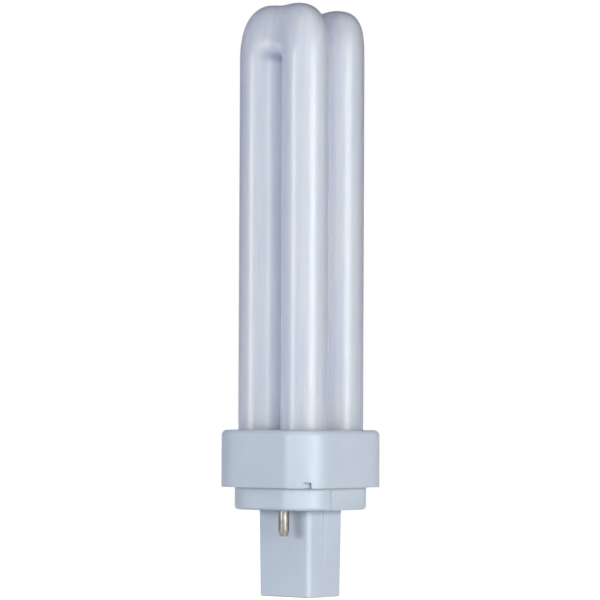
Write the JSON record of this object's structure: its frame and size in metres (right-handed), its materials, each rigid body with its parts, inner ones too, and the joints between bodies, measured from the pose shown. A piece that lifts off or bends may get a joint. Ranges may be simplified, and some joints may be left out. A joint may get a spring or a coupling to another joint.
{
  "type": "compact fluorescent bulb",
  "caption": "Plug-in compact fluorescent bulb: U-shaped glass tubes side by side in a square collar, on a plug housing with contact pins and a hollow starter post.",
  "frame": {"origin": "middle of the post's closed end, under the centre of the square collar", "axes": "+Z along the lamp axis, from the post to the glass bends; each glass tube bends in a plane parallel to XZ; +X is the keyed side of the plug housing; the contact pins stand on the -Y and +Y sides of the post"},
  "size_m": [0.034, 0.034, 0.153],
  "materials": {
    "coated_glass": "gloss",
    "white_plastic": "satin",
    "basing_cement": "matt",
    "pin_metal": "nickel plated",
    "clear_glass": "gloss",
    "capacitor_dip": "satin",
    "lead_wire": "plain"
  },
  "bodies": {
    "root": {"basing_cement": "basing_cement", "capacitor_lead_front": "lead_wire", "capacitor_lead_rear": "lead_wire", "contact_pin_front": "pin_metal", "contact_pin_rear": "pin_metal", "discharge_tube": "coated_glass", "pin_lead_front": "lead_wire", "pin_lead_rear": "lead_wire", "plug_housing": "white_plastic", "starter_bulb": "clear_glass", "starter_capacitor": "capacitor_dip", "starter_lead_front": "lead_wire", "starter_lead_rear": "lead_wire", "tube_collar": "white_plastic"}
  },
  "joints": []
}
